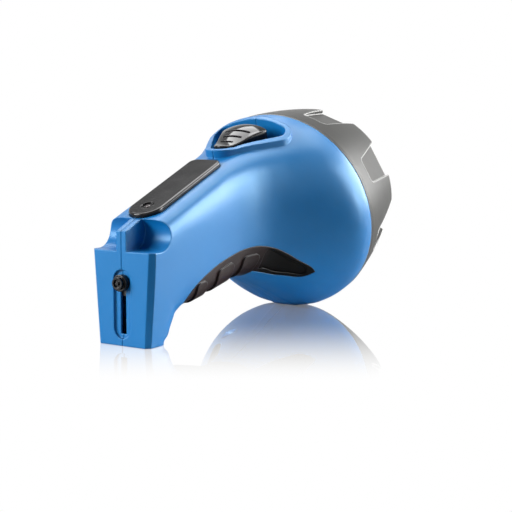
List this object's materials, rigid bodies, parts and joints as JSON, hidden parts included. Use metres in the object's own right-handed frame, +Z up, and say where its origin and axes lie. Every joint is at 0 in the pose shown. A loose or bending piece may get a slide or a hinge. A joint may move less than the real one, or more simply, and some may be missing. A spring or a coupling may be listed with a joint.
{
  "type": "rechargeable flashlight",
  "caption": "Hand-held rechargeable torch with a bell head, scalloped front ring, slide switch, rubber grip and a slide-out two-pin mains plug in its tail.",
  "frame": {"origin": "middle of the tail's foot, on the surface that the torch stands on", "axes": "+X forward along the beam's side, +Y to the left, +Z up; the lamp's axis points up by 16 degrees"},
  "size_m": [0.2085, 0.1148, 0.1139],
  "materials": {
    "body_blue": "satin moulded ABS",
    "ring_silver": "satin silver-grey, metallic filled",
    "black_gloss": "polished black",
    "grip_rubber": "matte black",
    "lens_clear": "clear polycarbonate, polished",
    "seal_rubber": "plain",
    "reflector_chrome": "vacuum-metallised",
    "board_green": "solder-masked laminate",
    "led_clear": "water-clear epoxy",
    "indicator_red": "dark red diffused",
    "screw_steel": "zinc plated",
    "inner_plastic": "moulded",
    "battery_case": "moulded",
    "capacitor_case": "dipped",
    "foam": "closed-cell foam",
    "contact_brass": "rolled strip",
    "pin_plate": "nickel-plated brass"
  },
  "bodies": {
    "housing": {"right_shell": "body_blue", "left_shell": "body_blue", "housing_screws": "screw_steel", "grip_insert": "grip_rubber", "ring_seal": "seal_rubber", "reflector": "reflector_chrome", "led_board": "board_green", "leds": "led_clear", "board_screws": "screw_steel", "slide_switch": "inner_plastic", "switch_screws": "screw_steel", "cover_plate": "black_gloss", "charge_indicator": "indicator_red", "battery": "battery_case", "battery_pads": "foam", "battery_terminals": "contact_brass", "charge_board": "board_green", "dropper_capacitor": "capacitor_case", "board_components": "inner_plastic", "plug_contacts": "contact_brass"},
    "front_ring": {"bezel_ring": "ring_silver", "lens": "lens_clear", "lens_gasket": "seal_rubber"},
    "switch": {"switch_button": "black_gloss", "switch_lever": "inner_plastic"},
    "plug": {"plug_carriage": "inner_plastic", "plug_pins": "pin_plate", "plug_knob": "black_gloss"}
  },
  "joints": [
    {"name": "ring_twist", "type": "hinge", "parent": "housing", "child": "front_ring", "pos_m": [0.1388, 0, 0.05585], "axis": [0.9613, 0, 0.2756], "range_deg": [0, 24]},
    {"name": "switch_slide", "type": "slide", "parent": "housing", "child": "switch", "axis": [0.974, 0, 0.2267], "range_m": [0, 0.0065]},
    {"name": "plug_slide", "type": "slide", "parent": "housing", "child": "plug", "axis": [0, 0, -1], "range_m": [0, 0.022]}
  ]
}
